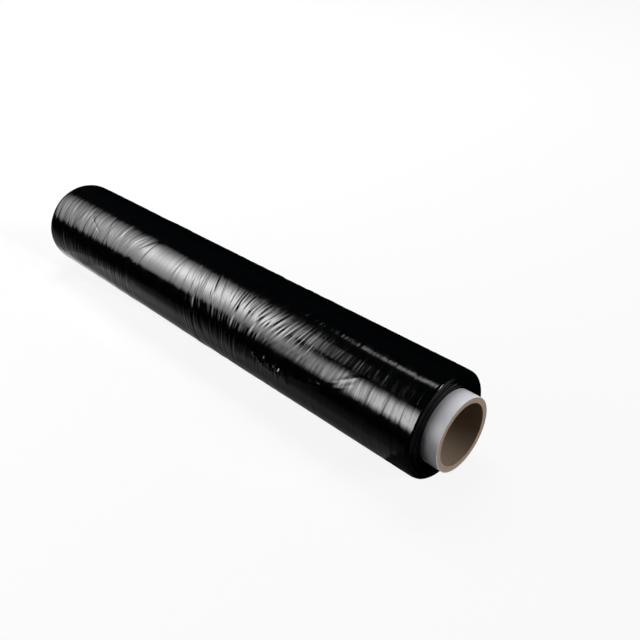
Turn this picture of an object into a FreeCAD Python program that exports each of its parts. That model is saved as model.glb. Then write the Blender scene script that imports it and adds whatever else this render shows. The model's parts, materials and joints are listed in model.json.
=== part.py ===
"""Hand roll of black stretch wrap on a cardboard core, lying on its side.

Millimetres. +X runs along the roll, +Z is up, and the origin is on the floor
under the middle of the roll. The roll rests on a narrow flat spot, where the
soft film gives under its own weight.
"""

import FreeCAD, Part
import Sketcher
import math
import os

from FreeCAD import Vector

# Driving dimensions: name, value, what it is. Lengths in mm, angles in degrees
SIZES = [
    ("film_width", 500.0, "width of the film, which is the length of the winding"),
    ("film_diameter", 88.0, "outside diameter of the winding"),
    ("core_diameter", 60.0, "outside diameter of the core tube and bore of the winding"),
    ("core_wall", 5.0, "wall of the core tube"),
    ("core_overhang", 15.0, "length of bare core past each end of the winding"),
    ("core_edge_break", 0.3, "broken edge at each end of the core tube"),
    ("flat_width", 12.0, "width of the flat spot that the winding rests on"),
    ("shoulder_length", 6.0, "length over which the winding rounds off at its ends"),
    ("shoulder_drop", 1.5, "drop of the winding's radius at its ends"),
    ("end_dish", 1.2, "how far the outer turns lie back from the inner ones at an end"),
    ("turn_ring_spacing", 3.4, "radial spacing of the turn edges that show on an end"),
    ("turn_ring_width", 0.9, "width of the groove beside a turn edge"),
    ("turn_ring_depth", 0.7, "depth of the groove beside a turn edge"),
    ("fine_band_start", 9.5, "distance from the far shoulder to the first narrow band"),
    ("fine_band_spacing", 71.0, "spacing of the narrow bands round the winding"),
    ("fine_band_width", 3.0, "width of a narrow band"),
    ("fine_band_depth", 0.25, "depth of a narrow band"),
    ("broad_band_start", 26.5, "distance from the far shoulder to the first broad band"),
    ("broad_band_spacing", 67.0, "spacing of the broad bands round the winding"),
    ("broad_band_width", 9.0, "width of a broad band"),
    ("broad_band_depth", 0.35, "depth of a broad band"),
    ("fold_width", 2.4, "width of a fold in the outer turn"),
    ("fold_height", 0.5, "height of a fold above the winding"),
]

# Folds of the outer turn: name, place along the roll as a share of the film's width from
# the middle, lean from a true ring towards the near end as the fold comes down to the
# front, angle of its middle round the roll from +Y over the top, and its sweep
FOLDS = [
    ("left_long", -0.180, -45.0, 131.0, 52.0),
    ("left_short", -0.157, -19.0, 131.0, 44.0),
    ("middle_steep", 0.022, 11.0, 129.0, 46.0),
    ("middle_slanting", 0.171, -28.0, 134.0, 60.0),
    ("middle_lower", 0.207, -39.0, 133.0, 54.0),
    ("right_lying", 0.334, -60.0, 152.0, 40.0),
]

# How far a cutting outline stands outside what it cuts
EXTRA = 1.0


def cell(name):
    """Return the expression for a driving dimension."""
    return "Sizes." + name


FILM_RADIUS = cell("film_diameter") + " / 2"
CORE_RADIUS = cell("core_diameter") + " / 2"
BORE_RADIUS = "(" + CORE_RADIUS + " - " + cell("core_wall") + ")"
HALF_WIDTH = cell("film_width") + " / 2"
WOUND = "(" + FILM_RADIUS + " - " + CORE_RADIUS + ")"
SHOULDER_DROP = "min(" + cell("shoulder_drop") + "; " + WOUND + " / 2)"
SHOULDER_START = "(" + HALF_WIDTH + " - " + cell("shoulder_length") + ")"
SHOULDER_TOP = "(" + FILM_RADIUS + " - " + SHOULDER_DROP + ")"
SHOULDER_RADIUS = (
    "((" + cell("shoulder_length") + " ^ 2 + " + SHOULDER_DROP + " ^ 2) / (2 * " + SHOULDER_DROP + "))"
)
AXIS_HEIGHT = "sqrt((" + FILM_RADIUS + ") ^ 2 - (" + cell("flat_width") + " / 2) ^ 2)"
CORE_LENGTH = "(" + cell("film_width") + " + 2 * " + cell("core_overhang") + ")"

doc = FreeCAD.newDocument("StretchWrapRoll")


def make_sheet():
    """Write the driving dimensions into the document's spreadsheet."""
    sheet = doc.addObject("Spreadsheet::Sheet", "Sizes")
    for row, (name, value, note) in enumerate(SIZES, start=1):
        sheet.set("A%d" % row, name)
        sheet.set("B%d" % row, str(value))
        sheet.set("C%d" % row, note)
        sheet.setAlias("B%d" % row, name)
    doc.recompute()
    return sheet


def value(expression):
    """Return the number that an expression of the sheet's cells gives now."""
    return float(sheet.evalExpression(expression))


def new_body(label):
    """Add a body whose X axis is the roll's axis, at its height above the floor."""
    body = doc.addObject("PartDesign::Body", label)
    body.Label = label
    body.setExpression("Placement.Base.z", AXIS_HEIGHT)
    return body


def origin_feature(body, role):
    """Return the body's own plane or axis with this role."""
    for feature in body.Origin.OriginFeatures:
        if feature.Role == role:
            return feature
    raise ValueError("no origin feature " + role)


def new_sketch(body, name, role):
    """Add a sketch on one of the body's origin planes."""
    sketch = body.newObject("Sketcher::SketchObject", name)
    sketch.AttachmentSupport = [(origin_feature(body, role), "")]
    sketch.MapMode = "FlatFace"
    return sketch


def tie(sketch, kind, geometry, point, expression):
    """Hold one coordinate of a sketch point to an expression."""
    index = sketch.addConstraint(Sketcher.Constraint(kind, -1, 1, geometry, point, value(expression)))
    sketch.setExpression("Constraints[%d]" % index, expression)


def draw_outline(sketch, points, arcs=None):
    """Draw a closed outline through points given as pairs of expressions.

    An entry in arcs, start index to centre, turns the edge that starts there
    into an arc about that centre, of which the first coordinate is tied.
    """
    arcs = arcs or {}
    places = [Vector(value(a), value(b), 0) for a, b in points]
    first = sketch.GeometryCount
    count = len(points)
    ends = []
    for i in range(count):
        start, stop = places[i], places[(i + 1) % count]
        if i in arcs:
            centre = Vector(value(arcs[i][0]), value(arcs[i][1]), 0)
            turn = (start - centre).cross(stop - centre).z
            a0 = math.atan2(start.y - centre.y, start.x - centre.x)
            a1 = math.atan2(stop.y - centre.y, stop.x - centre.x)
            circle = Part.Circle(centre, Vector(0, 0, 1), start.distanceToPoint(centre))
            low, high = (a0, a1) if turn > 0 else (a1, a0)
            sketch.addGeometry(Part.ArcOfCircle(circle, low, high), False)
            ends.append((1, 2) if turn > 0 else (2, 1))
        else:
            sketch.addGeometry(Part.LineSegment(start, stop), False)
            ends.append((1, 2))
    for i in range(count):
        following = (i + 1) % count
        joint = Sketcher.Constraint(
            "Coincident", first + i, ends[i][1], first + following, ends[following][0]
        )
        sketch.addConstraint(joint)
    for i, (along, out) in enumerate(points):
        tie(sketch, "DistanceX", first + i, ends[i][0], along)
        tie(sketch, "DistanceY", first + i, ends[i][0], out)
        if i in arcs:
            tie(sketch, "DistanceX", first + i, 3, arcs[i][0])


def turned(body, kind, name, sketch):
    """Revolve a sketch about its horizontal axis, to add or to cut."""
    feature = body.newObject(kind, name)
    feature.Profile = sketch
    feature.ReferenceAxis = (sketch, ["H_Axis"])
    feature.Angle = 360.0
    return feature


def must_cut(body, feature, before):
    """Stop if a cutting feature took nothing away."""
    doc.recompute()
    if feature.Shape.Volume > before - 0.01:
        raise RuntimeError(feature.Label + " cuts nothing from " + body.Label)


def row_of_bands(body, name, kind):
    """Cut shallow bands round the winding, evenly spaced from one shoulder to the other."""
    before = body.Tip.Shape.Volume
    spacing, width, depth = (cell(kind + "_band_" + size) for size in ("spacing", "width", "depth"))
    start = "(-" + SHOULDER_START + " + " + cell(kind + "_band_start") + ")"
    sketch = new_sketch(body, name + "Outline", "XZ_Plane")
    outline = [
        (start + " - " + width + " / 2", FILM_RADIUS),
        (start + " - " + width + " / 2", FILM_RADIUS + " + " + str(EXTRA)),
        (start + " + " + width + " / 2", FILM_RADIUS + " + " + str(EXTRA)),
        (start + " + " + width + " / 2", FILM_RADIUS),
        (start, FILM_RADIUS + " - " + depth),
    ]
    draw_outline(sketch, outline)
    band = turned(body, "PartDesign::Groove", name, sketch)
    must_cut(body, band, before)
    room = "(" + SHOULDER_START + " - " + start + " - " + width + " / 2)"
    pattern = body.newObject("PartDesign::LinearPattern", name + "Row")
    pattern.Originals = [band]
    pattern.Direction = (origin_feature(body, "X_Axis"), [""])
    pattern.Mode = "Spacing"
    pattern.setExpression("Offset", spacing)
    pattern.setExpression("Occurrences", "floor(" + room + " / " + spacing + ") + 1")
    body.Tip = pattern
    must_cut(body, pattern, band.Shape.Volume)


def turn_edges(body):
    """Cut the rings that show the edges of the turns on both ends of the winding."""
    before = body.Tip.Shape.Volume
    pitch = value(cell("turn_ring_spacing"))
    first = value(CORE_RADIUS) + pitch
    rings = int((value(SHOULDER_TOP) - first) // pitch) + 1
    sketch = new_sketch(body, "TurnEdgeOutline", "XZ_Plane")
    half = cell("turn_ring_width") + " / 2"
    for ring in range(1, rings + 1):
        middle = CORE_RADIUS + " + " + cell("turn_ring_spacing") + " * " + str(ring)
        share = "((" + cell("turn_ring_spacing") + " * " + str(ring) + ") / " + WOUND + ")"
        face = "(" + HALF_WIDTH + " - " + cell("end_dish") + " * " + share + ")"
        outside = HALF_WIDTH + " + " + str(EXTRA)
        draw_outline(
            sketch,
            [
                (outside, middle + " - " + half),
                (outside, middle + " + " + half),
                (face + " - " + cell("turn_ring_depth"), middle),
            ],
        )
    edges = turned(body, "PartDesign::Groove", "TurnEdges", sketch)
    must_cut(body, edges, before)
    mirrored = body.newObject("PartDesign::Mirrored", "TurnEdgesFarEnd")
    mirrored.Originals = [edges]
    mirrored.MirrorPlane = (origin_feature(body, "YZ_Plane"), [""])
    body.Tip = mirrored
    must_cut(body, mirrored, edges.Shape.Volume)


def make_winding():
    """Turn the winding, with its rounded shoulders, bands and turn edges."""
    body = new_body("winding")
    sketch = new_sketch(body, "WindingOutline", "XZ_Plane")
    far_end = "-" + HALF_WIDTH
    dish = cell("end_dish")
    outline = [
        (far_end, CORE_RADIUS),
        (HALF_WIDTH, CORE_RADIUS),
        (HALF_WIDTH + " - " + dish, SHOULDER_TOP),
        (SHOULDER_START + " - " + dish, FILM_RADIUS),
        ("-" + SHOULDER_START + " + " + dish, FILM_RADIUS),
        (far_end + " + " + dish, SHOULDER_TOP),
    ]
    centre_height = FILM_RADIUS + " - " + SHOULDER_RADIUS
    arcs = {
        2: (SHOULDER_START + " - " + dish, centre_height),
        4: ("-" + SHOULDER_START + " + " + dish, centre_height),
    }
    draw_outline(sketch, outline, arcs)
    turned(body, "PartDesign::Revolution", "Winding", sketch)
    doc.recompute()
    row_of_bands(body, "BroadBand", "broad")
    row_of_bands(body, "FineBand", "fine")
    turn_edges(body)
    return body


def make_fold(name, share, lean, middle, sweep, skin):
    """Raise one fold of the outer turn as a slanted strip on the winding."""
    centre = "vector(" + cell("film_width") + " * " + str(share) + "; 0; " + AXIS_HEIGHT + ")"
    along_x = "rotation(vector(0; 1; 0); 90)"
    outward = "vector(0; cos(" + str(middle) + "); sin(" + str(middle) + "))"

    slab = doc.addObject("Part::Cylinder", name + "_slab")
    slab.setExpression("Radius", cell("film_diameter") + " * 2")
    slab.setExpression("Height", cell("fold_width"))
    leaned = "rotation(" + outward + "; " + str(lean) + ") * " + along_x
    slab.setExpression("Placement", "placement(" + centre + "; " + leaned + ")")

    sector = doc.addObject("Part::Cylinder", name + "_sector")
    sector.setExpression("Radius", cell("film_diameter"))
    sector.setExpression("Height", CORE_LENGTH)
    sector.Angle = sweep
    end = "vector(-" + CORE_LENGTH + " / 2; 0; " + AXIS_HEIGHT + ")"
    opened = "rotation(vector(1; 0; 0); " + str(middle + 90.0 - sweep / 2) + ") * " + along_x
    sector.setExpression("Placement", "placement(" + end + "; " + opened + ")")

    fold = doc.addObject("Part::MultiCommon", name)
    fold.Shapes = [skin, slab, sector]
    return fold


def make_skin():
    """Make the thin shell that the folds are cut from."""
    half_wound = "(" + FILM_RADIUS + " - " + WOUND + " / 2)"
    placing = "placement(vector(-" + HALF_WIDTH + "; 0; " + AXIS_HEIGHT + "); rotation(vector(0; 1; 0); 90))"
    outer = doc.addObject("Part::Cylinder", "skin_outer")
    outer.setExpression("Radius", FILM_RADIUS + " + " + cell("fold_height"))
    inner = doc.addObject("Part::Cylinder", "skin_inner")
    inner.setExpression("Radius", half_wound)
    for round_bar in (outer, inner):
        round_bar.setExpression("Height", cell("film_width"))
        round_bar.setExpression("Placement", placing)
    skin = doc.addObject("Part::Cut", "skin")
    skin.Base = outer
    skin.Tool = inner
    return skin


def make_film_roll():
    """Join the winding and its folds, and press the flat spot into it."""
    winding = make_winding()
    skin = make_skin()
    folds = [make_fold("fold_" + name, *facts, skin) for name, *facts in FOLDS]
    wound = doc.addObject("Part::MultiFuse", "wound_film")
    wound.Shapes = [winding] + folds

    floor = doc.addObject("Part::Box", "floor")
    floor.setExpression("Length", CORE_LENGTH)
    floor.setExpression("Width", cell("film_diameter") + " * 2")
    floor.setExpression("Height", cell("film_diameter"))
    corner = "vector(-" + CORE_LENGTH + " / 2; -" + cell("film_diameter") + "; -" + cell("film_diameter") + ")"
    floor.setExpression("Placement.Base", corner)

    film_roll = doc.addObject("Part::Cut", "film_roll")
    film_roll.Label = "film_roll"
    film_roll.Base = wound
    film_roll.Tool = floor
    doc.recompute()
    if film_roll.Shape.Volume > wound.Shape.Volume - 0.01:
        raise RuntimeError("the flat spot cuts nothing")
    return film_roll


def make_core_tube():
    """Make the cardboard core, bare past both ends of the winding."""
    body = new_body("core_tube")
    sketch = new_sketch(body, "CoreSection", "YZ_Plane")
    for radius in (CORE_RADIUS, BORE_RADIUS):
        circle = sketch.addGeometry(Part.Circle(Vector(0, 0, 0), Vector(0, 0, 1), value(radius)), False)
        sketch.addConstraint(Sketcher.Constraint("Coincident", circle, 3, -1, 1))
        index = sketch.addConstraint(Sketcher.Constraint("Radius", circle, value(radius)))
        sketch.setExpression("Constraints[%d]" % index, radius)
    pad = body.newObject("PartDesign::Pad", "CoreLength")
    pad.Profile = sketch
    pad.SideType = "Symmetric"
    pad.setExpression("Length", CORE_LENGTH)
    doc.recompute()
    rims = [
        "Edge%d" % number
        for number, edge in enumerate(pad.Shape.Edges, start=1)
        if isinstance(edge.Curve, Part.Circle)
    ]
    chamfer = body.newObject("PartDesign::Chamfer", "CoreEdgeBreak")
    chamfer.Base = (pad, rims)
    chamfer.setExpression("Size", cell("core_edge_break"))
    body.Tip = chamfer
    must_cut(body, chamfer, pad.Shape.Volume)
    return body


def check(parts):
    """Stop if any object failed or any part isn't one valid solid."""
    for item in doc.Objects:
        if "Invalid" in item.State or "Error" in item.State:
            raise RuntimeError(item.Label + " failed: " + ", ".join(item.State))
    for part in parts:
        shape = part.Shape
        if shape.isNull() or not shape.isValid() or len(shape.Solids) != 1:
            raise RuntimeError(part.Label + " isn't one valid solid")


def write(parts):
    """Write each part's shape to a file of its own name."""
    os.makedirs("parts", exist_ok=True)
    for part in parts:
        part.Shape.exportStep(os.path.join("parts", part.Label + ".step"))
        box = part.Shape.optimalBoundingBox(False, False)
        size = "%.1f x %.1f x %.1f mm" % (box.XLength, box.YLength, box.ZLength)
        print(part.Label, size, "volume %.0f mm3" % part.Shape.Volume)


sheet = make_sheet()
core_tube = make_core_tube()
film_roll = make_film_roll()
doc.recompute()
check([core_tube, film_roll])
write([core_tube, film_roll])
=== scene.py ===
"""Hand roll of black stretch wrap on a cardboard core, modelled and dressed.

Lengths are in metres unless a name ends in _mm. +X runs along the roll towards
the end that is near the camera, +Z is up, and the roll lies on the floor. An
angle round the roll is measured from +Y, over the top, to the front at -Y.
"""

import json
import logging
import math
from dataclasses import dataclass
from enum import Enum

import bpy
import numpy as np
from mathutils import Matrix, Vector


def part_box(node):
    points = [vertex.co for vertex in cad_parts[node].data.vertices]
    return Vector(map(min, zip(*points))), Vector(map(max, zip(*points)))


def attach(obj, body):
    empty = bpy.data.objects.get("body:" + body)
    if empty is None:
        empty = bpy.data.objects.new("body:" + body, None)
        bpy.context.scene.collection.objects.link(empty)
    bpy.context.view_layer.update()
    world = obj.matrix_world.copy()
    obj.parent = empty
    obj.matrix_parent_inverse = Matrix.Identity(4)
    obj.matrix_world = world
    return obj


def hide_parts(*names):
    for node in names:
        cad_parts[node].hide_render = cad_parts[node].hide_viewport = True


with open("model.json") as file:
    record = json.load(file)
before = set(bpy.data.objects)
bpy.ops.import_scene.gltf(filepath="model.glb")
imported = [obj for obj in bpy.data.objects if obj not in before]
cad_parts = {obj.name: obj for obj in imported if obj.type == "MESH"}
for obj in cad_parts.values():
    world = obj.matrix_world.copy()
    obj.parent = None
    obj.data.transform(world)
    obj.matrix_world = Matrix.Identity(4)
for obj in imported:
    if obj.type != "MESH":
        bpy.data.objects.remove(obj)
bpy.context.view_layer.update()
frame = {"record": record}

MM = 0.001
TOUCH_MM = 0.01
SAME_PLACE = 1e-6
SHARP_DEG = 40.0
DRAW_LINES = "draw_lines"

Tree = bpy.types.NodeTree
Socket = bpy.types.NodeSocket
Material = bpy.types.Material
Piece = bpy.types.Object
Array = np.ndarray

log = logging.getLogger("roll")


@dataclass(frozen=True)
class RollSizes:
    """Sizes of the roll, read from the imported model.

    Attributes:
        half_width: Half the film's width, along the roll.
        radius: Outside radius of the wound film.
        core_radius: Outside radius of the core tube.
        bore_radius: Radius of the hole through the core tube.
        core_half: Half the core tube's length.
        axis_height: Height of the roll's axis above the floor.
    """

    half_width: float
    radius: float
    core_radius: float
    bore_radius: float
    core_half: float
    axis_height: float

    @staticmethod
    def from_frame() -> "RollSizes":
        """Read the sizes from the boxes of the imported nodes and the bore's record."""
        film_low, film_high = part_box("film_roll")
        core_low, core_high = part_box("core_tube")
        bore = next(mount for mount in frame["record"]["mounts"] if mount["name"] == "core_bore")
        return RollSizes(
            half_width=(film_high[0] - film_low[0]) / 2,
            radius=film_high[1],
            core_radius=(core_high[1] - core_low[1]) / 2,
            bore_radius=bore["dims"]["r_mm"] * MM,
            core_half=(core_high[0] - core_low[0]) / 2,
            axis_height=(core_high[2] + core_low[2]) / 2,
        )


def srgb(code: str) -> tuple[float, float, float, float]:
    """Turn an sRGB hex colour into linear values.

    Args:
        code: Six hex digits after a hash sign.

    Returns:
        Linear red, green and blue, and an alpha of one.
    """
    shades = [int(code[i : i + 2], 16) / 255 for i in (1, 3, 5)]
    red, green, blue = (s / 12.92 if s <= 0.04045 else ((s + 0.055) / 1.055) ** 2.4 for s in shades)
    return red, green, blue, 1.0


def add_node(tree: Tree, kind: str, inputs: dict | None = None, **settings) -> bpy.types.Node:
    """Add a node with its settings, values and links.

    Args:
        tree: Node tree that gets the node.
        kind: Type name of the node, without ShaderNode in front.
        inputs: Input name or index, to the socket linked to it or to its value.
        **settings: Properties of the node, such as its operation.

    Returns:
        The new node.
    """
    node = tree.nodes.new("ShaderNode" + kind)
    for name, setting in settings.items():
        setattr(node, name, setting)
    for name, source in (inputs or {}).items():
        if isinstance(source, Socket):
            tree.links.new(source, node.inputs[name])
        else:
            node.inputs[name].default_value = source
    return node


def ramp(node: bpy.types.Node, stops: list[tuple[float, tuple]]) -> Socket:
    """Set a colour ramp's stops.

    Args:
        node: The colour ramp node.
        stops: Position and linear colour of each stop, in order.

    Returns:
        The node's colour output.
    """
    elements = node.color_ramp.elements
    while len(elements) < len(stops):
        elements.new(1.0)
    for element, (position, colour) in zip(elements, stops):
        element.position = position
        element.color = colour
    return node.outputs["Color"]


def new_material(name: str) -> tuple[Material, Tree]:
    """Make an empty node material.

    Args:
        name: Name of the material.

    Returns:
        The material and its node tree.
    """
    material = bpy.data.materials.new(name)
    material.use_nodes = True
    material.node_tree.nodes.clear()
    return material, material.node_tree


def finish_material(
    material: Material, inputs: dict, relief: Socket | None = None, height_mm: float = 0.0
) -> Material:
    """Add the relief, the shader and the output to a material.

    Args:
        material: The material.
        inputs: Inputs of the shader, as add_node takes them.
        relief: Relief of the surface, where it has one.
        height_mm: Height of the relief.

    Returns:
        The material.
    """
    tree = material.node_tree
    if relief is not None:
        bump = add_node(tree, "Bump", {"Height": relief, "Distance": height_mm * MM})
        inputs = inputs | {"Normal": bump.outputs["Normal"]}
    shader = add_node(tree, "BsdfPrincipled", inputs)
    add_node(tree, "OutputMaterial", {"Surface": shader.outputs["BSDF"]})
    return material


def from_axis(tree: Tree, place: Socket, axis_height: float) -> Socket:
    """Work out how far a place in a material is from the roll's axis.

    Args:
        tree: Node tree of the material.
        place: Object coordinates.
        axis_height: Height of the roll's axis.

    Returns:
        The distance from the axis.
    """
    inputs = {0: place, 1: (0.0, 0.0, axis_height)}
    centred = add_node(tree, "VectorMath", inputs, operation="SUBTRACT")
    inputs = {0: centred.outputs["Vector"], 1: (0.0, 1.0, 1.0)}
    across = add_node(tree, "VectorMath", inputs, operation="MULTIPLY")
    length = add_node(tree, "VectorMath", {0: across.outputs["Vector"]}, operation="LENGTH")
    return length.outputs["Value"]


@dataclass(frozen=True)
class StretchFilm:
    """Blown polyethylene stretch film, black all through, wound tight.

    It has a smooth wet gloss. The finest draw lines follow the ridges of the
    mesh and are bump, because they are thinner than its faces.
    """

    name: str = "black_stretch_film"
    colour: str = "#030405"
    ior: float = 1.45
    roughness_low: float = 0.06
    roughness_high: float = 0.14
    patch_mm: float = 9.0
    patch_range: tuple[float, float] = (0.3, 0.7)
    line_mm: float = 1.5
    line_stretch: float = 12.0
    line_height_mm: float = 0.11

    def make(self) -> Material:
        """Make the material."""
        material, tree = new_material(self.name)
        place = add_node(tree, "TexCoord").outputs["Object"]
        parts = add_node(tree, "SeparateXYZ", {0: place})
        draw = add_node(tree, "Attribute", attribute_name=DRAW_LINES)
        drawn = add_node(tree, "SeparateXYZ", {0: draw.outputs["Vector"]})
        inputs = {"X": drawn.outputs["X"], "Y": parts.outputs["Y"], "Z": parts.outputs["Z"]}
        turned = add_node(tree, "CombineXYZ", inputs)
        across = 1 / (self.line_mm * MM)
        along = across / self.line_stretch
        inputs = {0: turned.outputs["Vector"], 1: (across, along, along)}
        scaled = add_node(tree, "VectorMath", inputs, operation="MULTIPLY")
        inputs = {"Vector": scaled.outputs["Vector"], "Scale": 1.0, "Detail": 2.0}
        lines = add_node(tree, "TexNoise", inputs)
        inputs = {0: lines.outputs["Fac"], 1: drawn.outputs["Y"]}
        raised = add_node(tree, "Math", inputs, operation="MULTIPLY")
        inputs = {"Vector": place, "Scale": 1 / (self.patch_mm * MM), "Detail": 3.0}
        patches = add_node(tree, "TexNoise", inputs)
        low, high = self.patch_range
        inputs = {"Value": patches.outputs["Fac"], "From Min": low, "From Max": high}
        inputs |= {"To Min": self.roughness_low, "To Max": self.roughness_high}
        roughness = add_node(tree, "MapRange", inputs)
        inputs = {"Base Color": srgb(self.colour), "IOR": self.ior}
        inputs["Roughness"] = roughness.outputs["Result"]
        return finish_material(material, inputs, raised.outputs["Value"], self.line_height_mm)


@dataclass(frozen=True)
class TurnEdges:
    """Cut edges of the wound turns, which make one face at each end.

    Hundreds of film edges stand side by side, so the face is black with fine
    rings that glint.
    """

    axis_height: float
    name: str = "wound_film_edges"
    colour: str = "#020303"
    roughness: float = 0.14
    specular: float = 0.25
    ring_mm: float = 0.5
    ring_height_mm: float = 0.03

    def make(self) -> Material:
        """Make the material."""
        material, tree = new_material(self.name)
        place = add_node(tree, "TexCoord").outputs["Object"]
        radius = from_axis(tree, place, self.axis_height)
        inputs = {"W": radius, "Scale": 1 / (self.ring_mm * MM)}
        rings = add_node(tree, "TexNoise", inputs, noise_dimensions="1D")
        inputs = {"Base Color": srgb(self.colour), "Roughness": self.roughness}
        inputs["Specular IOR Level"] = self.specular
        return finish_material(material, inputs, rings.outputs["Fac"], self.ring_height_mm)


@dataclass(frozen=True)
class CoreBoard:
    """Recycled core board, wound from glued plies and cut square.

    Short grey-brown fibres give it a fine mottle, its plies show as faint
    rings on the cut end, and the inner ply's joint runs as a screw in the bore.
    """

    axis_height: float
    name: str = "recycled_core_board"
    light: str = "#BCA996"
    dark: str = "#937F6D"
    roughness: float = 0.85
    fibre_mm: float = 0.6
    fibre_height_mm: float = 0.06
    ply_mm: float = 0.8
    mottle_range: tuple[float, float] = (0.32, 0.62)

    def make(self) -> Material:
        """Make the material."""
        material, tree = new_material(self.name)
        place = add_node(tree, "TexCoord").outputs["Object"]
        radius = from_axis(tree, place, self.axis_height)
        inputs = {"W": radius, "Scale": 1 / (self.ply_mm * MM)}
        plies = add_node(tree, "TexNoise", inputs, noise_dimensions="1D")
        inputs = {"Vector": place, "Scale": 1 / (self.fibre_mm * MM), "Detail": 4.0}
        fibres = add_node(tree, "TexNoise", inputs)
        inputs = {0: plies.outputs["Fac"], 1: fibres.outputs["Fac"]}
        mixed = add_node(tree, "Math", inputs, operation="ADD")
        halved = add_node(tree, "Math", {0: mixed.outputs["Value"], 1: 0.5}, operation="MULTIPLY")
        low, high = self.mottle_range
        node = add_node(tree, "ValToRGB", {"Fac": halved.outputs["Value"]})
        colour = ramp(node, [(low, srgb(self.dark)), (high, srgb(self.light))])
        inputs = {"Base Color": colour, "Roughness": self.roughness}
        return finish_material(material, inputs, fibres.outputs["Fac"], self.fibre_height_mm)


@dataclass(frozen=True)
class WhitePaper:
    """Smooth white paper, the outer ply of the core, with a cool tint.

    It is calendered, so it has a faint sheen and an almost even colour.
    """

    name: str = "white_paper_ply"
    light: str = "#F1F1F7"
    dark: str = "#E9E9F0"
    roughness: float = 0.5
    mottle_mm: float = 4.0
    mottle_range: tuple[float, float] = (0.3, 0.7)
    fibre_mm: float = 0.5
    fibre_height_mm: float = 0.02

    def make(self) -> Material:
        """Make the material."""
        material, tree = new_material(self.name)
        place = add_node(tree, "TexCoord").outputs["Object"]
        inputs = {"Vector": place, "Scale": 1 / (self.mottle_mm * MM), "Detail": 5.0}
        mottle = add_node(tree, "TexNoise", inputs)
        low, high = self.mottle_range
        node = add_node(tree, "ValToRGB", {"Fac": mottle.outputs["Fac"]})
        colour = ramp(node, [(low, srgb(self.dark)), (high, srgb(self.light))])
        inputs = {"Vector": place, "Scale": 1 / (self.fibre_mm * MM), "Detail": 3.0}
        fibres = add_node(tree, "TexNoise", inputs)
        inputs = {"Base Color": colour, "Roughness": self.roughness}
        return finish_material(material, inputs, fibres.outputs["Fac"], self.fibre_height_mm)


@dataclass(frozen=True)
class PaperSweep:
    """Matt white background paper that the roll lies on.

    It is partly white of itself where it is seen, so the background is even
    and the roll's shadow stays on it.
    """

    name: str = "white_background_paper"
    colour: str = "#F3F3F3"
    even_share: float = 0.88

    def make(self) -> Material:
        """Make the material."""
        material, tree = new_material(self.name)
        path = add_node(tree, "LightPath")
        share = 0.0
        for ray in ("Is Camera Ray", "Is Glossy Ray", "Is Transmission Ray"):
            inputs = {0: path.outputs[ray], 1: self.even_share, 2: share}
            share = add_node(tree, "Math", inputs, operation="MULTIPLY_ADD").outputs["Value"]
        inputs = {"Color": srgb(self.colour), "Roughness": 1.0}
        paper = add_node(tree, "BsdfDiffuse", inputs).outputs["BSDF"]
        white = add_node(tree, "Emission", {"Strength": 1.0}).outputs["Emission"]
        mixed = add_node(tree, "MixShader", {0: share, 1: paper, 2: white})
        add_node(tree, "OutputMaterial", {"Surface": mixed.outputs["Shader"]})
        return material


@dataclass(frozen=True)
class FlagCard:
    """Matt card of the flags, black or paler towards one edge, which paints shade into what the
    roll reflects.

    Attributes:
        paler: Brightness at its back edge, where 1 is white; this graded edge is a painted
            reflection of the floor's shade near the roll.
        middle_share: Share of that brightness in its middle.
        name: Name of the material.
        colour: Colour of its front edge.
    """

    paler: float = 0.0
    middle_share: float = 0.1
    name: str = "matt_flag_card"
    colour: str = "#020202"

    def make(self) -> Material:
        """Make the material."""
        material, tree = new_material(self.name)
        parts = add_node(tree, "SeparateXYZ", {0: add_node(tree, "TexCoord").outputs["UV"]})
        middle, edge = ((v, v, v, 1.0) for v in (self.paler * self.middle_share, self.paler))
        node = add_node(tree, "ValToRGB", {"Fac": parts.outputs["Y"]})
        colour = ramp(node, [(0.0, srgb(self.colour)), (0.5, middle), (1.0, edge)])
        inputs = {"Base Color": colour, "Roughness": 1.0, "Specular IOR Level": 0.0}
        return finish_material(material, inputs)


def smooth(share: Array) -> Array:
    """Ease a share of 0 to 1 in and out."""
    share = np.clip(share, 0.0, 1.0)
    return share * share * (3 - 2 * share)


@dataclass(frozen=True)
class Ripple:
    """Smooth noise that runs along the roll and joins up round it.

    Attributes:
        wave_mm: Spacing of its highs and lows along the roll.
        arc_deg: Spacing of its highs and lows round the roll.
        seed: Seed of its random heights.
    """

    wave_mm: float
    arc_deg: float
    seed: int

    def height(self, along_mm: Array, angle_deg: Array) -> Array:
        """Return the noise, from -1 to 1.

        Args:
            along_mm: Places along the roll.
            angle_deg: Angles round the roll.

        Returns:
            The noise at each place.
        """
        start = along_mm.min()
        cells_along = int((along_mm.max() - start) / self.wave_mm) + 2
        cells_round = max(3, round(360 / self.arc_deg))
        random = np.random.default_rng(self.seed)
        heights = random.uniform(-1, 1, (cells_along + 1, cells_round))
        u = (along_mm - start) / self.wave_mm
        v = (angle_deg % 360) / 360 * cells_round
        row = u.astype(int)
        column = v.astype(int) % cells_round
        after = (column + 1) % cells_round
        ease_u = smooth(u - row)
        ease_v = smooth(v - np.floor(v))
        low = heights[row, column] * (1 - ease_v) + heights[row, after] * ease_v
        high = heights[row + 1, column] * (1 - ease_v) + heights[row + 1, after] * ease_v
        return low * (1 - ease_u) + high * ease_u


class CreaseKind(Enum):
    """How a crease stands on the winding."""

    RIDGE = "ridge"
    STEP = "step"


STEP = CreaseKind.STEP


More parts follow.
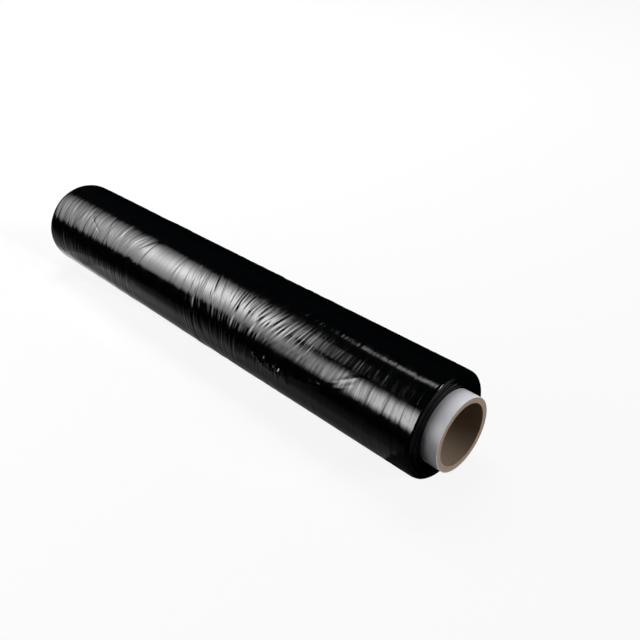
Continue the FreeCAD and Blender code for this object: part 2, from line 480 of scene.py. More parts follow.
@dataclass(frozen=True)
class Crease:
    """One crease of the outer turn.

    Attributes:
        place_mm: Its middle, along the roll from the roll's middle.
        angle_deg: Its middle, round the roll.
        lean_deg: Its lean from a true ring, towards the near end as it comes down the front.
        length_mm: Its length.
        width_mm: Half its width at about half its height.
        height_mm: Its height, or its depth if negative.
        kind: Whether it stands up as a ridge or steps from one level to another.
        full_share: Share of its length that has its full height.
        fall_widths: How far a step falls off again, in its widths.
    """

    place_mm: float
    angle_deg: float
    lean_deg: float
    length_mm: float
    width_mm: float
    height_mm: float
    kind: CreaseKind = CreaseKind.RIDGE
    full_share: float = 0.55
    fall_widths: float = 6.0

    def height(self, along_mm: Array, angle_deg: Array, radius_mm: float) -> Array:
        """Return the crease's height at each place.

        Args:
            along_mm: Places along the roll.
            angle_deg: Angles round the roll.
            radius_mm: Radius of the winding.

        Returns:
            Heights in mm.
        """
        turn = (angle_deg - self.angle_deg + 180) % 360 - 180
        arc = np.radians(turn) * radius_mm
        lean = math.radians(self.lean_deg)
        away = along_mm - self.place_mm
        down = away * math.sin(lean) + arc * math.cos(lean)
        across = away * math.cos(lean) - arc * math.sin(lean)
        reach = np.abs(down) / (self.length_mm / 2)
        window = 1 - smooth((reach - self.full_share) / (1 - self.full_share))
        if self.kind is CreaseKind.STEP:
            rise = smooth(across / self.width_mm + 0.5)
            fall = np.exp(-((np.maximum(across, 0) / (self.width_mm * self.fall_widths)) ** 2))
            return self.height_mm * window * rise * fall
        return self.height_mm * window * np.exp(-((across / self.width_mm) ** 2))


@dataclass(frozen=True)
class Crumple:
    """One crumpled patch of the outer turn.

    Attributes:
        place_mm: Its middle, along the roll from the roll's middle.
        angle_deg: Its middle, round the roll.
        half_length_mm: Half its length along the roll.
        half_width_mm: Half its width round the roll.
        fold_mm: Spacing of its folds.
        height_mm: Height of its folds.
        seed: Seed of its random folds.
    """

    place_mm: float
    angle_deg: float
    half_length_mm: float
    half_width_mm: float
    fold_mm: float
    height_mm: float
    seed: int

    def height(self, along_mm: Array, angle_deg: Array, radius_mm: float) -> Array:
        """Return the patch's height at each place.

        Args:
            along_mm: Places along the roll.
            angle_deg: Angles round the roll.
            radius_mm: Radius of the winding.

        Returns:
            Heights in mm.
        """
        turn = (angle_deg - self.angle_deg + 180) % 360 - 180
        arc = np.radians(turn) * radius_mm
        away = along_mm - self.place_mm
        reach = np.hypot(away / self.half_length_mm, arc / self.half_width_mm)
        window = 1 - smooth((reach - 0.5) / 0.5)
        fold_deg = 2 * math.degrees(self.fold_mm / radius_mm)
        folds = Ripple(self.fold_mm, fold_deg, self.seed).height(along_mm + arc, angle_deg)
        return self.height_mm * window * (1 - 2 * np.abs(folds))


@dataclass(frozen=True)
class FilmWrinkles:
    """Draw lines, wrinkles and creases of the outer turns.

    Attributes:
        front_deg: Angle of the middle of the front, where leans are measured.
        broad_from_mm: Spacing from which a ripple counts as a broad wave.
        leans: Lean of the draw lines from true rings, in degrees, at places along the roll.
        strengths: Strength of the draw lines at places along the roll.
        swells: Strength of the broad waves at places along the roll.
        bumps: Strength of the finest lines, which the material adds.
        ripples: Each ripple with its height in mm.
        creases: The creases of the outer turn.
        crumples: The crumpled patches of the outer turn.
    """

    front_deg: float = 131.0
    broad_from_mm: float = 5.0
    leans: tuple[tuple[float, float], ...] = (
        (-250, 8), (-215, 9), (-172, -3), (-125, -8), (-92, -38), (-78, -19),
        (-60, -14), (-36, -12), (-10, 16), (12, 10), (26, 22), (48, 6),
        (62, -6), (88, -22), (106, -30), (126, -24), (141, -16), (151, -12),
        (168, -14), (195, -4), (220, 1), (250, 3),
    )
    strengths: tuple[tuple[float, float], ...] = (
        (-250, 1.0), (-228, 1.0), (-205, 0.9), (-150, 0.9), (-100, 0.85), (-85, 0.7),
        (-72, 0.1), (-40, 0.1), (-20, 0.6), (0, 1.2), (60, 1.2), (100, 1.1),
        (125, 0.55), (150, 0.4), (170, 0.35), (195, 0.38), (225, 0.5), (250, 0.8),
    )
    swells: tuple[tuple[float, float], ...] = (
        (-250, 0.5), (-200, 0.8), (-150, 0.8), (-85, 0.9), (-72, 0.2), (-40, 0.2),
        (-15, 0.9), (60, 1.0), (100, 0.5), (150, 0.3), (185, 0.3), (250, 0.2),
    )
    bumps: tuple[tuple[float, float], ...] = (
        (-250, 1.4), (-205, 1.3), (-100, 1.3), (-85, 1.0), (-72, 0.2), (-40, 0.2),
        (-20, 0.9), (0, 1.2), (100, 1.1), (125, 1.0), (180, 0.8), (210, 1.0), (250, 1.8),
    )
    ripples: tuple[tuple[float, Ripple], ...] = (
        (0.080, Ripple(1.4, 30, 11)),
        (0.110, Ripple(2.1, 24, 12)),
        (0.120, Ripple(3.7, 30, 13)),
        (0.150, Ripple(7.0, 40, 14)),
        (0.150, Ripple(17.0, 60, 15)),
        (0.150, Ripple(41.0, 120, 16)),
    )
    creases: tuple[Crease, ...] = (
        Crease(-90, 131, -45, 52, 1.2, 0.24, STEP),
        Crease(-78, 131, -19, 40, 1.2, 0.22, STEP),
        Crease(-96, 136, -38, 30, 1.0, 0.16, STEP),
        Crease(-173, 131, 66, 36, 0.9, -0.22),
        Crease(-178, 126, 50, 20, 0.9, 0.2, STEP),
        Crease(-198, 129, -20, 34, 0.9, 0.14, STEP),
        Crease(-146, 131, 22, 36, 0.9, 0.14, STEP),
        Crease(-31, 128, -12, 36, 1.0, 0.16, STEP),
        Crease(10, 129, 11, 40, 1.0, 0.24, STEP),
        Crease(-6, 130, 12, 30, 1.0, -0.20),
        Crease(24, 127, 24, 36, 1.2, -0.20),
        Crease(85, 132, -24, 40, 1.4, 0.2),
        Crease(103, 130, -30, 36, 1.4, -0.20),
        Crease(182, 147, -56, 32, 1.1, 0.24),
        Crease(150, 168, -77, 42, 0.9, 0.55),
        Crease(184, 153, -58, 24, 1.0, 0.22),
        Crease(92, 173, 74, 12, 0.8, 0.9),
        Crease(99, 177, 70, 10, 0.8, 1.0),
        Crease(104, 170, 72, 8, 0.8, 0.8),
        Crease(109, 181, 88, 12, 0.8, 1.1),
        Crease(111, 176, 68, 10, 0.8, 1.0),
        Crease(117, 173, 70, 9, 0.8, 0.9),
        Crease(119, 178, 72, 9, 0.8, 1.1),
        Crease(126, 182, 86, 12, 0.8, 1.1),
    )
    crumples: tuple[Crumple, ...] = (Crumple(112, 176, 26, 9, 2.8, 0.7, 21),)

    def height(self, along_mm: Array, angle_deg: Array, radius_mm: float) -> Array:
        """Return the height of the film's surface over a true cylinder.

        Args:
            along_mm: Places along the roll.
            angle_deg: Angles round the roll.
            radius_mm: Radius of the winding.

        Returns:
            Heights in mm.
        """
        slid = self.slid(along_mm, angle_deg, radius_mm)
        total = np.zeros_like(along_mm)
        fine = np.interp(along_mm, *zip(*self.strengths))
        broad = np.interp(along_mm, *zip(*self.swells))
        for size, ripple in self.ripples:
            share = fine if ripple.wave_mm < self.broad_from_mm else broad
            total += share * size * ripple.height(slid, angle_deg)
        for crease in self.creases:
            total += crease.height(along_mm, angle_deg, radius_mm)
        for crumple in self.crumples:
            total += crumple.height(along_mm, angle_deg, radius_mm)
        return total

    def slid(self, along_mm: Array, angle_deg: Array, radius_mm: float) -> Array:
        """Return the places along the roll where the draw lines cross the middle of the front.

        Args:
            along_mm: Places along the roll.
            angle_deg: Angles round the roll.
            radius_mm: Radius of the winding.

        Returns:
            Places in mm.
        """
        places, leans = zip(*self.leans)
        lean = np.tan(np.radians(np.interp(along_mm, places, leans)))
        turn = np.sin(np.radians(angle_deg - self.front_deg))
        return along_mm - lean * radius_mm * turn


@dataclass(frozen=True)
class RingSection:
    """Rectangular section that is spun round the roll's axis.

    Attributes:
        half_length: Half its length along the roll.
        inner: Radius of its inner edge.
        outer: Radius of its outer edge.
        outer_cuts: Cuts along its outer edge, as cuts and further cuts between those.
        inner_cuts: Cuts along its inner edge.
        end_cuts: Cuts up each end.
        steps: Steps of the spin.
    """

    half_length: float
    inner: float
    outer: float
    outer_cuts: tuple[int, ...]
    inner_cuts: tuple[int, ...]
    end_cuts: tuple[int, ...]
    steps: int

    def spin(self, name: str, axis_height: float) -> Piece:
        """Spin the section into a closed ring.

        Args:
            name: Name of the new piece.
            axis_height: Height of the roll's axis.

        Returns:
            The new piece, with its place in its mesh.
        """
        bpy.ops.object.select_all(action="DESELECT")
        middle = (0.0, 0.0, axis_height + (self.inner + self.outer) / 2)
        turn = (math.pi / 2, 0.0, 0.0)
        bpy.ops.mesh.primitive_plane_add(size=1.0, location=middle, rotation=turn)
        piece = bpy.context.object
        piece.name = name
        piece.scale = (self.half_length * 2, self.outer - self.inner, 1.0)
        bpy.ops.object.transform_apply(location=True, rotation=True, scale=True)
        bpy.ops.object.mode_set(mode="EDIT")
        bpy.ops.mesh.select_all(action="SELECT")
        bpy.ops.mesh.delete(type="ONLY_FACE")
        sides = (
            (2, axis_height + self.outer, self.outer_cuts),
            (2, axis_height + self.inner, self.inner_cuts),
            (0, -self.half_length, self.end_cuts),
            (0, self.half_length, self.end_cuts),
        )
        for axis, place, rounds in sides:
            for cuts in rounds:
                self.select_side(piece, axis, place)
                bpy.ops.mesh.subdivide(number_cuts=cuts)
        bpy.ops.mesh.select_all(action="SELECT")
        bpy.ops.mesh.spin(
            steps=self.steps, angle=math.tau, center=(0.0, 0.0, axis_height), axis=(1.0, 0.0, 0.0)
        )
        bpy.ops.mesh.select_all(action="SELECT")
        bpy.ops.mesh.remove_doubles(threshold=SAME_PLACE)
        bpy.ops.mesh.normals_make_consistent(inside=False)
        bpy.ops.object.mode_set(mode="OBJECT")
        return piece

    def select_side(self, piece: Piece, axis: int, place: float) -> None:
        """Select the edges of one side of the section.

        Args:
            piece: Piece in edit mode.
            axis: Axis along which the side has one place.
            place: That place.
        """
        bpy.ops.mesh.select_mode(type="EDGE")
        bpy.ops.mesh.select_all(action="DESELECT")
        bpy.ops.object.mode_set(mode="OBJECT")
        mesh = piece.data
        for edge in mesh.edges:
            ends = (mesh.vertices[i].co[axis] for i in edge.vertices)
            edge.select = all(abs(end - place) < SAME_PLACE for end in ends)
        bpy.ops.object.mode_set(mode="EDIT")


def places_of(piece: Piece, axis_height: float) -> tuple[Array, Array, Array]:
    """Read where a piece's points lie.

    Args:
        piece: The piece.
        axis_height: Height of the roll's axis.

    Returns:
        Places along the roll and distances from its axis in mm, and angles in radians.
    """
    points = np.empty(len(piece.data.vertices) * 3)
    piece.data.vertices.foreach_get("co", points)
    x, y, z = points.reshape(-1, 3).T
    depth = z - axis_height
    return x / MM, np.hypot(y, depth) / MM, np.arctan2(depth, y)


def move_points(piece: Piece, places: tuple[Array, Array, Array], axis_height: float) -> None:
    """Put a piece's points at new places, none of them under the floor.

    Args:
        piece: The piece.
        places: What places_of returns.
        axis_height: Height of the roll's axis.
    """
    along_mm, radius_mm, turn = places
    y = radius_mm * MM * np.cos(turn)
    z = np.maximum(radius_mm * MM * np.sin(turn) + axis_height, 0.0)
    piece.data.vertices.foreach_set("co", np.column_stack((along_mm * MM, y, z)).ravel())
    piece.data.update()


@dataclass
class WoundFilm:
    """The wound film, one solid ring of turns.

    Attributes:
        sizes: Sizes of the roll.
        wrinkles: Wrinkles of the outer turns.
        shoulder_length_mm: Length over which the winding rounds off at its ends.
        shoulder_drop_mm: Drop of the winding's radius at its ends.
        shoulder_ring_mm: Height of the rings that single turns leave on the shoulder.
        ring_wave_mm: Spacing of those rings.
        shoulder_calm: How much fainter the wrinkles are at the ends, as a share.
        slip_mm: How far the turns have slipped towards the near end, just there.
        slip_over_mm: Length over which the slip fades out.
        dish_mm: How far the outer turns lie back from the inner ones at an end.
        turn_step_mm: How far one turn's edge stands out of the next one's.
        turn_edges: Random steps of the turns' edges, on the near end and on the far end.
        edge_fade: How fast those steps fade in from the core and out at the side.
        crowd: How much closer the points stand at the front, from 0 to 1.
        bore_gap_mm: Gap to the core, which keeps the two apart.
    """

    sizes: RollSizes
    wrinkles: FilmWrinkles
    shoulder_length_mm: float = 5.0
    shoulder_drop_mm: float = 1.5
    shoulder_ring_mm: float = 0.06
    ring_wave_mm: float = 1.7
    shoulder_calm: float = 0.3
    slip_mm: float = 1.2
    slip_over_mm: float = 20.0
    dish_mm: float = 1.2
    turn_step_mm: float = 0.35
    turn_edges: tuple[Ripple, Ripple] = (Ripple(1 / 14, 120, 31), Ripple(1 / 14, 120, 32))
    edge_fade: float = 8.0
    crowd: float = 0.68
    bore_gap_mm: float = 0.05

    def build(self) -> Piece:
        """Build the piece."""
        sizes = self.sizes
        inner = sizes.core_radius + self.bore_gap_mm * MM
        section = RingSection(
            half_length=sizes.half_width,
            inner=inner,
            outer=sizes.radius,
            outer_cuts=(6, 99),
            inner_cuts=(4,),
            end_cuts=(36,),
            steps=120,
        )
        piece = section.spin("wound_film", sizes.axis_height)
        along_mm, radius_mm, turn = places_of(piece, sizes.axis_height)
        front = math.radians(self.wrinkles.front_deg)
        turn = turn - self.crowd * np.sin(turn - front)
        angle_deg = np.degrees(turn)
        outer_mm = sizes.radius / MM
        half_mm = sizes.half_width / MM
        on_side = radius_mm > outer_mm - TOUCH_MM
        share = np.clip((radius_mm - inner / MM) / (outer_mm - inner / MM), 0.0, 1.0)
        wrinkle = self.wrinkles.height(along_mm, angle_deg, outer_mm)
        near_end = np.clip(1 - (half_mm - np.abs(along_mm)) / self.shoulder_length_mm, 0.0, 1.0)
        drop = self.shoulder_drop_mm * (1 - np.sqrt(1 - near_end**2))
        rings = np.sin(along_mm * math.tau / self.ring_wave_mm)
        drop += self.shoulder_ring_mm * smooth(near_end * 3) * rings
        # The outer turns move most, and those at the core stay round.
        radius_mm = radius_mm + share**4 * (wrinkle * (1 - self.shoulder_calm * near_end) - drop)
        at_end = np.abs(along_mm) > half_mm - TOUCH_MM
        steps = self.turn_steps(share, angle_deg, along_mm > 0)
        back = share * self.dish_mm + steps
        along_mm = np.where(at_end & ~on_side, np.sign(along_mm) * (half_mm - back), along_mm)
        along_mm = along_mm + self.slip_mm * smooth((along_mm - half_mm) / self.slip_over_mm + 1)
        move_points(piece, (along_mm, radius_mm, turn), sizes.axis_height)
        slid = self.wrinkles.slid(along_mm, angle_deg, outer_mm) * MM
        strength = np.interp(along_mm, *zip(*self.wrinkles.bumps))
        lines = piece.data.attributes.new(DRAW_LINES, "FLOAT_VECTOR", "POINT")
        rows = np.column_stack((slid, strength, np.zeros_like(slid)))
        lines.data.foreach_set("vector", rows.ravel())
        return piece

    def turn_steps(self, share: Array, angle_deg: Array, near: Array) -> Array:
        """Return how far each turn's edge lies back.

        Args:
            share: Place between the core and the outside, from 0 to 1.
            angle_deg: Angles round the roll.
            near: Whether the place is on the near end.

        Returns:
            Distances in mm.
        """
        at_near, at_far = (ripple.height(share, angle_deg) for ripple in self.turn_edges)
        fade = smooth(share * self.edge_fade) * smooth((1 - share) * self.edge_fade)
        return self.turn_step_mm * (1 + np.where(near, at_near, at_far)) * fade

    def dress(self, piece: Piece) -> None:
        """Give the piece its materials and its place in the model.

        Args:
            piece: The built piece.
        """
        flat_on = 0.8
        piece.data.materials.append(StretchFilm().make())
        piece.data.materials.append(TurnEdges(self.sizes.axis_height).make())
        for face in piece.data.polygons:
            face.material_index = 1 if abs(face.normal.x) > flat_on else 0
        smooth_shade(piece)
        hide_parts("film_roll")
        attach(piece, "root")


def smooth_shade(piece: Piece) -> None:
    """Shade a piece smooth, apart from its sharp edges."""
    bpy.ops.object.select_all(action="DESELECT")
    piece.select_set(True)
    bpy.context.view_layer.objects.active = piece
    bpy.ops.object.shade_smooth_by_angle(angle=math.radians(SHARP_DEG))


@dataclass
class CardCore:
    """The cardboard core tube, whose white outer ply shows at the roll's ends.

    Attributes:
        sizes: Sizes of the roll.
        edge_break_mm: Soft edge that the saw cut has.
        seam_pitch_mm: Length of the tube in which a ply's joint goes once round.
        seam_width_mm: Half the width of a ply's joint.
        seam_depth_mm: Depth of a ply's joint.
        ply_line_mm: Depth of the line between two plies on the cut end.
        ply_line_at: Place of that line, as a share of the wall from the bore.
        ply_line_width: Half its width, as a share of the wall.
        paper_mm: Depth to which the white paper shows.
        crowd: How much closer the points stand at the ends, from 1.
    """

    sizes: RollSizes
    edge_break_mm: float = 0.3
    seam_pitch_mm: float = 150.0
    seam_width_mm: float = 0.35
    seam_depth_mm: float = 0.15
    ply_line_mm: float = 0.15
    ply_line_at: float = 0.55
    ply_line_width: float = 0.06
    paper_mm: float = 0.5
    crowd: float = 1.9

    def build(self) -> Piece:
        """Build the piece."""
        sizes = self.sizes
        section = RingSection(
            half_length=sizes.core_half,
            inner=sizes.bore_radius,
            outer=sizes.core_radius,
            outer_cuts=(99,),
            inner_cuts=(99,),
            end_cuts=(19,),
            steps=160,
        )
        piece = section.spin("card_core", sizes.axis_height)
        along_mm, radius_mm, turn = places_of(piece, sizes.axis_height)
        inner_mm = sizes.bore_radius / MM
        outer_mm = sizes.core_radius / MM
        half_mm = sizes.core_half / MM
        share = np.clip(along_mm / half_mm, -1.0, 1.0)
        along_mm = half_mm * np.sign(share) * (1 - (1 - np.abs(share)) ** self.crowd)
        outer_seam = self.seam(along_mm, turn, 1.0)
        inner_seam = self.seam(along_mm, turn, -1.0)
        radius_mm = radius_mm - np.where(radius_mm > outer_mm - TOUCH_MM, outer_seam, 0.0)
        radius_mm = radius_mm + np.where(radius_mm < inner_mm + TOUCH_MM, inner_seam, 0.0)
        at_end = np.abs(along_mm) > half_mm - TOUCH_MM
        wall_mm = outer_mm - inner_mm
        wall = (radius_mm - inner_mm) / wall_mm
        line = self.ply_line_mm * np.exp(-(((wall - self.ply_line_at) / self.ply_line_width) ** 2))
        edge = np.maximum(0.0, self.edge_break_mm - (0.5 - np.abs(wall - 0.5)) * wall_mm)
        back = line + edge
        along_mm = np.where(at_end, np.sign(along_mm) * (half_mm - back), along_mm)
        move_points(piece, (along_mm, radius_mm, turn), sizes.axis_height)
        return piece

    def seam(self, along_mm: Array, turn: Array, hand: float) -> Array:
        """Return the depth of a ply's joint, which winds along the tube.

        Args:
            along_mm: Places along the roll.
            turn: Angles round the roll, in radians.
            hand: 1 for a right-hand screw and -1 for a left-hand one.

        Returns:
            Depths in mm.
        """
        turns = along_mm / self.seam_pitch_mm + hand * turn / math.tau
        away = (turns - np.round(turns)) * self.seam_pitch_mm
        return self.seam_depth_mm * np.exp(-((away / (self.seam_width_mm * 2)) ** 2))

    def dress(self, piece: Piece) -> None:
        """Give the piece its materials and its place in the model.

        Args:
            piece: The built piece.
        """
        piece.data.materials.append(CoreBoard(self.sizes.axis_height).make())
        piece.data.materials.append(WhitePaper().make())
        rim = self.sizes.core_radius - self.paper_mm * MM
        for face in piece.data.polygons:
            centre = face.center
            away = math.hypot(centre.y, centre.z - self.sizes.axis_height)
            face.material_index = 1 if away > rim else 0
        smooth_shade(piece)
        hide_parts("core_tube")
        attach(piece, "root")


@dataclass(frozen=True)
class Softbox:
    """One rectangular softbox of the studio, which runs along the roll.

    Its front cloth may have a hot spot, as a real one has before its flash. The
    cloth is seen in reflections alone, and where it has light, a plain lamp lights matt surfaces.

    Attributes:
        name: Name of its cloth and lamp.
        start: Its far end, along the roll.
        end: Its near end, along the roll.
        upper: Its upper edge, as y and z.
        lower: Its lower edge, as y and z.
        glow: Brightness of the cloth, where 1 is white.
        along: Its share at even steps from the far end to the near end.
        across: Its share at even steps from the lower edge to the upper edge.
        light: Brightness of the lamp.
        spot: The hot spot's place along the roll, its share of the way up the
            cloth, its radius and its brightness.
        taper: How much narrower the lit part is at the near end, as a share.
    """

    name: str
    start: float
    end: float
    upper: tuple[float, float]
    lower: tuple[float, float]
    glow: float
    along: tuple[float, ...] = (1.0, 1.0)
    across: tuple[float, ...] = (1.0, 1.0)
    light: float = 0.0
    spot: tuple[float, float, float, float] = (0.0, 0.0, 1.0, 0.0)
    taper: float = 0.0

    def place(self) -> None:
        """Add the cloth, and the lamp where the softbox has light."""
        upper = Vector((0.0, *self.upper))
        lower = Vector((0.0, *self.lower))
        length = self.end - self.start
        height = (upper - lower).length
        facing = (upper - lower).cross(Vector((1.0, 0.0, 0.0)))
        centre = (upper + lower) / 2 + Vector(((self.start + self.end) / 2, 0.0, 0.0))
        turn = facing.to_track_quat("-Z", "Y").to_euler()
        bpy.ops.object.select_all(action="DESELECT")
        bpy.ops.mesh.primitive_plane_add(size=1.0, location=centre, rotation=turn)
        cloth = bpy.context.object
        cloth.name = self.name + "_cloth"
        cloth.scale = (length, height, 1.0)
        cloth.data.materials.append(self.cloth_material())
        cloth.visible_camera = False
        cloth.visible_diffuse = False
        cloth.visible_shadow = False
        if self.light > 0:
            lamp = bpy.data.lights.new(self.name + "_lamp", "AREA")
            lamp.shape = "RECTANGLE"
            lamp.size = length
            lamp.size_y = height
            lamp.energy = self.light * length * height * math.pi
            lamp.cycles.use_multiple_importance_sampling = False
            box = bpy.data.objects.new(lamp.name, lamp)
            box.location = centre
            box.rotation_euler = turn
            box.visible_camera = False
            box.visible_glossy = False
            bpy.context.collection.objects.link(box)

    def cloth_material(self) -> Material:
        """Make the glowing material of the front cloth."""
        material, tree = new_material(self.name + "_cloth")
        place = add_node(tree, "TexCoord").outputs["UV"]
        parts = add_node(tree, "SeparateXYZ", {0: place})
        nearness = add_node(tree, "Math", {0: parts.outputs["X"], 1: 2.0}, operation="POWER")
        inputs = {0: nearness.outputs["Value"], 1: self.taper, 2: 1.0}
        wider = add_node(tree, "Math", inputs, operation="MULTIPLY_ADD")
        inputs = {0: parts.outputs["Y"], 1: wider.outputs["Value"]}
        up = add_node(tree, "Math", inputs, operation="MULTIPLY")
        glow = self.glow
        for share, levels in ((parts.outputs["X"], self.along), (up.outputs["Value"], self.across)):
            stops = [(i / (len(levels) - 1), (v, v, v, 1.0)) for i, v in enumerate(levels)]
            level = ramp(add_node(tree, "ValToRGB", {"Fac": share}), stops)
            glow = add_node(tree, "Math", {0: level, 1: glow}, operation="MULTIPLY").outputs[0]
        length = self.end - self.start
        height = math.dist(self.upper, self.lower)
        spot_along, spot_up, radius, bright = self.spot
        inputs = {0: place, 1: ((spot_along - self.start) / length, spot_up, 0.0)}
        away = add_node(tree, "VectorMath", inputs, operation="SUBTRACT").outputs[0]
        inputs = {0: away, 1: (length / radius, height / radius, 0.0)}
        away = add_node(tree, "VectorMath", inputs, operation="MULTIPLY").outputs[0]
        square = add_node(tree, "VectorMath", {0: away, 1: away}, operation="DOT_PRODUCT")
        fall = add_node(tree, "Math", {0: square.outputs["Value"], 1: -1.0}, operation="MULTIPLY")
        spot = add_node(tree, "Math", {0: fall.outputs["Value"]}, operation="EXPONENT")
        inputs = {0: spot.outputs["Value"], 1: bright, 2: glow}
        glow = add_node(tree, "Math", inputs, operation="MULTIPLY_ADD")
        light = add_node(tree, "Emission", {"Strength": glow.outputs["Value"]})
        add_node(tree, "OutputMaterial", {"Surface": light.outputs["Emission"]})
        return material


@dataclass(frozen=True)
class Flag:
    """One black or graded card of the studio, which the camera does not see.

    It keeps the floor's light off the roll and casts no shadow: the film reflects it and the core
    gets its dark bounce, as painted shade in place of the white floor.

    Attributes:
        name: Its name.
        middle: Its middle.
        size: Its length along the roll and its width.
        tilt_deg: Its tilt up from the floor.
        turn_deg: Its turn about the upright.
        paler: Brightness at its back edge, where 1 is white and its front edge is black; it paints
            the floor's shade into the film's reflection.
    """

    name: str
    middle: tuple[float, float, float]
    size: tuple[float, float]
    tilt_deg: float = 0.0
    turn_deg: float = 0.0
    paler: float = 0.0

    def place(self) -> None:
        """Add the card."""
        turn = (math.radians(self.tilt_deg), 0.0, math.radians(self.turn_deg))
        bpy.ops.object.select_all(action="DESELECT")
        bpy.ops.mesh.primitive_plane_add(size=1.0, location=self.middle, rotation=turn)
        card = bpy.context.object
        card.name = self.name + "_flag"
        card.scale = (*self.size, 1.0)
        card.data.materials.append(FlagCard(self.paler).make())
        card.visible_camera = False
        card.visible_shadow = False


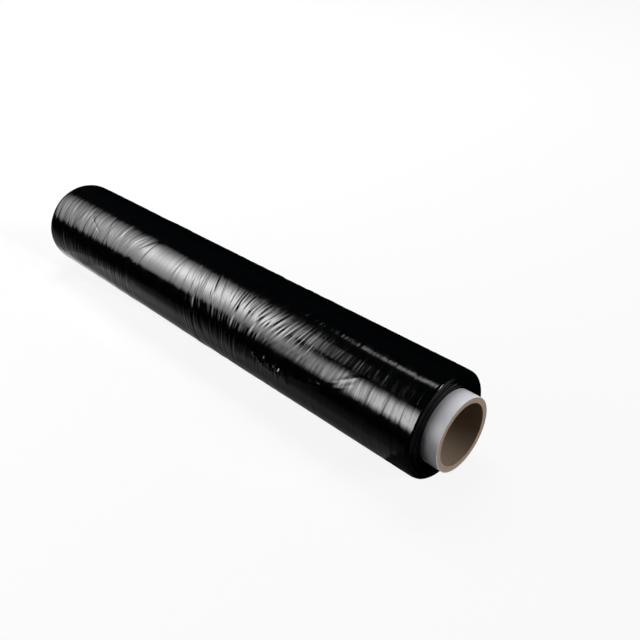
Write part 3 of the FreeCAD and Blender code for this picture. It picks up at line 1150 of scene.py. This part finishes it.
@dataclass
class Studio:
    """White sweep, softboxes and camera.

    Attributes:
        camera_place: Place of the camera.
        azimuth_deg: Turn of the camera from looking along +Y.
        elevation_deg: How far the camera looks down.
        focal_px: Focal length in pixels of the photograph.
        image_px: Side of the photograph in pixels.
        softboxes: The softboxes.
        sun_from: Direction that the broad front light comes from.
        sun_level: Its strength.
        sun_deg: Its apparent size.
        sky_level: Strength of the dim room above.
        white_level: Strength of the white background, where it shows.
        white_rise: Heights between which it fades out in reflections, where 1 is upright.
        floor_side: Side of the floor.
        flags: The black and graded cards, which paint shade into reflections and bounce.
    """

    camera_place: tuple[float, float, float] = (0.4755, -0.3530, 0.3860)
    azimuth_deg: float = 45.0
    elevation_deg: float = 31.75
    focal_px: float = 733.0
    image_px: float = 640.0
    softboxes: tuple[Softbox, ...] = (
        Softbox(
            "long_softbox", -1.95, -0.53, (0.13, 1.07), (-1.06, 0.31), 4.2,
            (0.35, 0.45, 0.50, 0.62, 0.90, 0.76, 0.98, 1.05, 0.88, 0.8, 0.7),
            (0.0, 0.8, 1.0, 1.0, 1.0, 1.0, 0.85, 0.45, 0.0), 1.0, (-0.72, 0.5, 0.27, 14.0), 0.17,
        ),
        Softbox(
            "branch_softbox", -0.53, -0.25, (-0.22, 0.84), (-0.50, 0.66), 5.5,
            (1.0, 0.75, 0.55, 0.28, 0.08, 0.02, 0.0), (0.7, 1.0, 0.5),
        ),
        Softbox(
            "front_softbox", -0.82, 0.10, (-0.73, 0.79), (-1.04, 0.06), 14.5,
            (0.0, 0.08, 0.14, 0.20, 0.32, 0.64, 1.0, 0.78, 1.08, 0.60, 1.0),
            (0.0, 0.4, 0.95, 1.0, 1.0, 0.95, 0.65, 0.2, 0.0), 1.3,
        ),
        Softbox(
            "front_end_softbox", 0.10, 0.45, (-0.73, 0.79), (-1.04, 0.06), 13.5,
            (1.0, 0.8), (0.0, 0.4, 0.95, 1.0, 1.0, 0.95, 0.65, 0.2, 0.0),
        ),
        Softbox(
            "top_strip_far", -0.48, -0.374, (0.25, 1.07), (0.08, 1.07), 9.0,
            (0.0, 0.15, 0.4, 0.65, 0.9), (0.1, 1.0, 1.0, 0.1),
        ),
        Softbox(
            "top_strip_near", -0.324, 0.0, (0.25, 1.07), (0.08, 1.07), 5.0,
            (0.9, 1.0, 1.0), (0.1, 1.0, 1.0, 0.1),
        ),
        Softbox("side_strip", 0.80, 1.15, (0.36, 0.72), (0.26, 0.76), 18.0),
        Softbox("overhead_lamp", -1.5, 0.1, (0.9, 1.5), (0.2, 1.6), 0.0, light=7.0),
    )
    sun_from: tuple[float, float, float] = (0.85, 0.25, 0.32)
    sun_level: float = 2.2
    sun_deg: float = 30.0
    sky_level: float = 0.004
    white_level: float = 0.95
    white_rise: tuple[float, float] = (0.06, 0.16)
    floor_side: float = 60.0
    flags: tuple[Flag, ...] = (
        Flag("front_floor", (0.0, -0.88, 0.0005), (40.0, 1.5)),
        Flag("front_wall", (0.0, -1.6, 0.5), (40.0, 1.0), 90.0),
        Flag("back_floor", (0.0, 0.88, 0.0005), (40.0, 1.44)),
        Flag("back_wall", (0.0, 1.6, 0.5), (40.0, 1.0), 90.0),
        Flag("end_floor", (1.65, 0.03, 0.0006), (2.8, 0.36)),
        Flag("end_wall", (2.5, 0.0, 0.8), (3.2, 1.6), 90.0, 90.0),
        # The graded cards paint the shaded floor in front of the roll as the film reflects it.
        Flag("shoulder_floor", (0.27, -0.085, 0.0007), (0.16, 0.13), paler=0.12),
        Flag("graded_far", (-0.5825, -0.1361, 0.0008), (0.637, 0.14), 0.0, 4.5, 0.28),
        Flag("graded_between", (-0.24, -0.1091, 0.0008), (0.0501, 0.14), 0.0, 4.5, 0.55),
        Flag("graded_front", (0.0025, -0.09, 0.0008), (0.436, 0.14), 0.0, 4.5, 1.0),
    )

    def place_camera(self) -> None:
        """Add the camera at the photograph's place and angle."""
        lens = bpy.data.cameras.new("photo_camera")
        lens.sensor_width = 36.0
        lens.lens = lens.sensor_width * self.focal_px / self.image_px
        camera = bpy.data.objects.new("photo_camera", lens)
        camera.location = self.camera_place
        tilt = math.radians(90 - self.elevation_deg)
        camera.rotation_euler = (tilt, 0.0, math.radians(self.azimuth_deg))
        bpy.context.collection.objects.link(camera)
        bpy.context.scene.camera = camera

    def place_lights(self) -> None:
        """Add the softboxes and the broad front light."""
        for softbox in self.softboxes:
            softbox.place()
        sun = bpy.data.lights.new("front_light", "SUN")
        sun.energy = self.sun_level
        sun.angle = math.radians(self.sun_deg)
        sun.cycles.use_multiple_importance_sampling = False
        lamp = bpy.data.objects.new("front_light", sun)
        lamp.rotation_euler = (-Vector(self.sun_from)).to_track_quat("-Z", "Y").to_euler()
        lamp.visible_glossy = False
        bpy.context.collection.objects.link(lamp)

    def light_room(self) -> None:
        """Add the dim room, which is white to the camera and low down in reflections."""
        world = bpy.data.worlds.new("studio_room")
        world.use_nodes = True
        tree = world.node_tree
        tree.nodes.clear()
        path = add_node(tree, "LightPath")
        parts = add_node(tree, "SeparateXYZ", {0: add_node(tree, "TexCoord").outputs["Generated"]})
        start, end = self.white_rise
        inputs = {"Value": parts.outputs["Z"], "From Min": start, "From Max": end}
        low = add_node(tree, "MapRange", inputs | {"To Min": 1.0, "To Max": 0.0})
        seen = path.outputs["Is Camera Ray"]
        for ray in ("Is Glossy Ray", "Is Transmission Ray"):
            inputs = {0: path.outputs[ray], 1: low.outputs["Result"], 2: seen}
            seen = add_node(tree, "Math", inputs, operation="MULTIPLY_ADD").outputs["Value"]
        inputs = {"Value": seen, "To Min": self.sky_level, "To Max": self.white_level}
        strength = add_node(tree, "MapRange", inputs)
        inputs = {"Color": (1.0, 1.0, 1.0, 1.0), "Strength": strength.outputs["Result"]}
        back = add_node(tree, "Background", inputs)
        add_node(tree, "OutputWorld", {"Surface": back.outputs["Background"]})
        bpy.context.scene.world = world

    def lay_floor(self) -> None:
        """Add the floor that the roll lies on."""
        bpy.ops.object.select_all(action="DESELECT")
        bpy.ops.mesh.primitive_plane_add(size=self.floor_side, location=(0.0, 0.0, 0.0))
        floor = bpy.context.object
        floor.name = "studio_floor"
        floor.data.materials.append(PaperSweep().make())

    def set_up(self) -> None:
        """Set up the whole studio."""
        self.place_camera()
        self.place_lights()
        self.light_room()
        self.lay_floor()
        for flag in self.flags:
            flag.place()
        bpy.context.scene.view_settings.view_transform = "Standard"


def main() -> None:
    """Build the roll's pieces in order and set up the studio."""
    logging.basicConfig(level=logging.INFO, format="%(message)s")
    sizes = RollSizes.from_frame()
    for part in (WoundFilm(sizes, FilmWrinkles()), CardCore(sizes)):
        piece = part.build()
        part.dress(piece)
        log.info("%s: %d faces", piece.name, len(piece.data.polygons))
    Studio().set_up()


if __name__ == "__main__":
    main()
